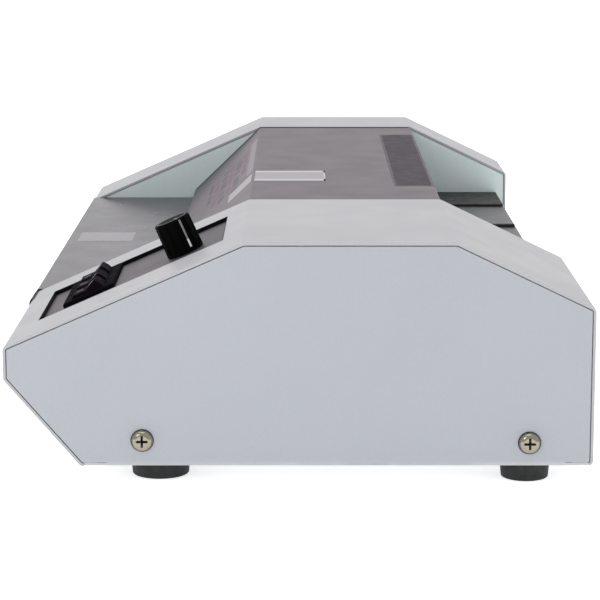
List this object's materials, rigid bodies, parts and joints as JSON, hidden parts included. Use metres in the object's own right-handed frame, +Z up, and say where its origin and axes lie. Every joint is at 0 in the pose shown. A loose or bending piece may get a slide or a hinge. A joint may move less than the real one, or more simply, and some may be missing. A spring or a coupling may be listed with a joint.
{
  "type": "pouch laminator",
  "caption": "Desktop roller laminator for A3 pouches: steel side housings, flat feed table, vented roller cover, exit ledge, sloping control panel with rocker switches and a knob.",
  "frame": {"origin": "middle of the machine's bounding box, on the surface that its feet stand on", "axes": "+X towards the control side, -Y towards the feed table, +Z up"},
  "size_m": [0.5056, 0.258, 0.1109],
  "materials": {
    "case_paint": "fine orange-peel powder coat, light grey, satin",
    "panel_paint": "fine orange-peel powder coat, light grey, satin",
    "cheek_paint": "fine orange-peel powder coat, light grey, satin",
    "base_zinc": "zinc-plated sheet",
    "table_paint": "fine textured powder coat, mid grey",
    "top_cover_paint": "fine textured powder coat, mid grey",
    "ledge_paint": "fine textured powder coat, mid grey",
    "black_rubber": "matte moulded rubber",
    "vent_plastic": "moulded black, finely grained",
    "control_panel_paint": "textured dark grey",
    "switch_plastic": "moulded black nylon",
    "rocker_plastic": "moulded black, satin gloss",
    "knob_plastic": "moulded black with a pale pointer line",
    "zinc_steel": "zinc-plated sheet",
    "bright_steel": "ground bar",
    "silicone": "smooth red-brown silicone",
    "gear_plastic": "natural acetal",
    "bush_bronze": "sintered bronze",
    "block_plastic": "black high-temperature plastic",
    "spring_steel": "drawn wire",
    "heater_aluminium": "extruded, mill finish",
    "heater_sheath": "stainless sheath",
    "control_phenolic": "phenolic",
    "motor_can": "plated can",
    "pot_body": "plated can",
    "board_laminate": "solder-masked laminate",
    "board_parts": "moulded cases",
    "inlet_plastic": "moulded black nylon",
    "nickel_screws": "bright nickel plate"
  },
  "bodies": {
    "chassis": {"base_pan": "base_zinc", "board_components": "board_parts", "circuit_board": "board_laminate", "control_panel": "control_panel_paint", "edge_guard": "black_rubber", "exit_ledge": "ledge_paint", "exit_ledge_ribs": "black_rubber", "feed_table": "table_paint", "foot_screws": "nickel_screws", "front_apron": "panel_paint", "gearmotor": "motor_can", "heat_switch_body": "switch_plastic", "heater_tubes": "heater_sheath", "hot_pressure_springs": "spring_steel", "idler_stud": "bright_steel", "left_cover": "case_paint", "left_inner_cheek": "cheek_paint", "left_side_panel": "panel_paint", "lower_heater_plate": "heater_aluminium", "lower_roller_bushes": "bush_bronze", "motor_bracket": "zinc_steel", "potentiometer": "pot_body", "power_inlet": "inlet_plastic", "power_switch_body": "switch_plastic", "pull_pressure_springs": "spring_steel", "rear_panel": "panel_paint", "reverse_switch_body": "switch_plastic", "right_cover": "case_paint", "right_inner_cheek": "cheek_paint", "right_side_panel": "panel_paint", "rubber_feet": "black_rubber", "side_panel_screws": "nickel_screws", "spring_seats": "zinc_steel", "thermal_controls": "control_phenolic", "tie_bars": "zinc_steel", "top_cover": "top_cover_paint", "upper_heater_plate": "heater_aluminium", "vent_grille": "vent_plastic"},
    "power_rocker": {"power_rocker": "rocker_plastic"},
    "heat_rocker": {"heat_rocker": "rocker_plastic"},
    "reverse_rocker": {"reverse_rocker": "rocker_plastic"},
    "knob": {"temperature_knob": "knob_plastic", "knob_shaft": "bright_steel"},
    "hot_blocks": {"hot_pressure_blocks": "block_plastic"},
    "pull_blocks": {"pull_pressure_blocks": "block_plastic"},
    "idler": {"idler_gear": "gear_plastic"},
    "pinion": {"motor_pinion": "bright_steel"},
    "fuse_drawer": {"fuse_drawer": "inlet_plastic"},
    "lower_hot_roller": {"lower_hot_roller_shaft": "bright_steel", "lower_hot_roller_sleeve": "silicone", "lower_hot_roller_gear": "gear_plastic"},
    "upper_hot_roller": {"upper_hot_roller_shaft": "bright_steel", "upper_hot_roller_sleeve": "silicone", "upper_hot_roller_gear": "gear_plastic"},
    "lower_pull_roller": {"lower_pull_roller_shaft": "bright_steel", "lower_pull_roller_sleeve": "silicone", "lower_pull_roller_gear": "gear_plastic"},
    "upper_pull_roller": {"upper_pull_roller_shaft": "bright_steel", "upper_pull_roller_sleeve": "silicone", "upper_pull_roller_gear": "gear_plastic"}
  },
  "joints": [
    {"name": "power_rock", "type": "hinge", "parent": "chassis", "child": "power_rocker", "pos_m": [0.15525, -0.09452, 0.07372], "axis": [1, 0, 0], "range_deg": [-26, 0]},
    {"name": "heat_rock", "type": "hinge", "parent": "chassis", "child": "heat_rocker", "pos_m": [0.17375, -0.09452, 0.07372], "axis": [1, 0, 0], "range_deg": [-26, 0]},
    {"name": "reverse_rock", "type": "hinge", "parent": "chassis", "child": "reverse_rocker", "pos_m": [0.19225, -0.09452, 0.07372], "axis": [1, 0, 0], "range_deg": [-26, 0]},
    {"name": "temperature_turn", "type": "hinge", "parent": "chassis", "child": "knob", "pos_m": [0.189, -0.0522, 0.09461], "axis": [0, -0.4023, 0.9155], "range_deg": [-75, 195]},
    {"name": "hot_float", "type": "slide", "parent": "chassis", "child": "hot_blocks", "axis": [0, 0, 1], "range_m": [0, 0.001], "stiffness_N_per_m": 4000, "springref_m": -0.004, "deforming": ["hot_pressure_springs"]},
    {"name": "pull_float", "type": "slide", "parent": "chassis", "child": "pull_blocks", "axis": [0, 0, 1], "range_m": [0, 0.001], "stiffness_N_per_m": 4000, "springref_m": -0.004, "deforming": ["pull_pressure_springs"]},
    {"name": "lower_hot_roller_spin", "type": "hinge", "parent": "chassis", "child": "lower_hot_roller", "pos_m": [0, -0.02, 0.0535], "axis": [1, 0, 0], "continuous": true},
    {"name": "upper_hot_roller_spin", "type": "hinge", "parent": "hot_blocks", "child": "upper_hot_roller", "pos_m": [0, -0.02, 0.0775], "axis": [1, 0, 0], "continuous": true},
    {"name": "lower_pull_roller_spin", "type": "hinge", "parent": "chassis", "child": "lower_pull_roller", "pos_m": [0, 0.036, 0.0535], "axis": [1, 0, 0], "continuous": true},
    {"name": "upper_pull_roller_spin", "type": "hinge", "parent": "pull_blocks", "child": "upper_pull_roller", "pos_m": [0, 0.036, 0.0775], "axis": [1, 0, 0], "continuous": true},
    {"name": "idler_spin", "type": "hinge", "parent": "chassis", "child": "idler", "pos_m": [0, 0.008, 0.0535], "axis": [1, 0, 0], "continuous": true},
    {"name": "pinion_spin", "type": "hinge", "parent": "chassis", "child": "pinion", "pos_m": [0, 0.008, 0.0295], "axis": [1, 0, 0], "continuous": true},
    {"name": "fuse_drawer_slide", "type": "slide", "parent": "chassis", "child": "fuse_drawer", "axis": [0, 1, 0], "range_m": [0, 0.011]}
  ],
  "couplings": [
    {"joint": "upper_hot_roller_spin", "follows": "lower_hot_roller_spin", "ratio": -1},
    {"joint": "lower_pull_roller_spin", "follows": "lower_hot_roller_spin", "ratio": 1},
    {"joint": "upper_pull_roller_spin", "follows": "lower_hot_roller_spin", "ratio": -1},
    {"joint": "idler_spin", "follows": "lower_hot_roller_spin", "ratio": -0.75},
    {"joint": "pinion_spin", "follows": "lower_hot_roller_spin", "ratio": 1.5}
  ]
}
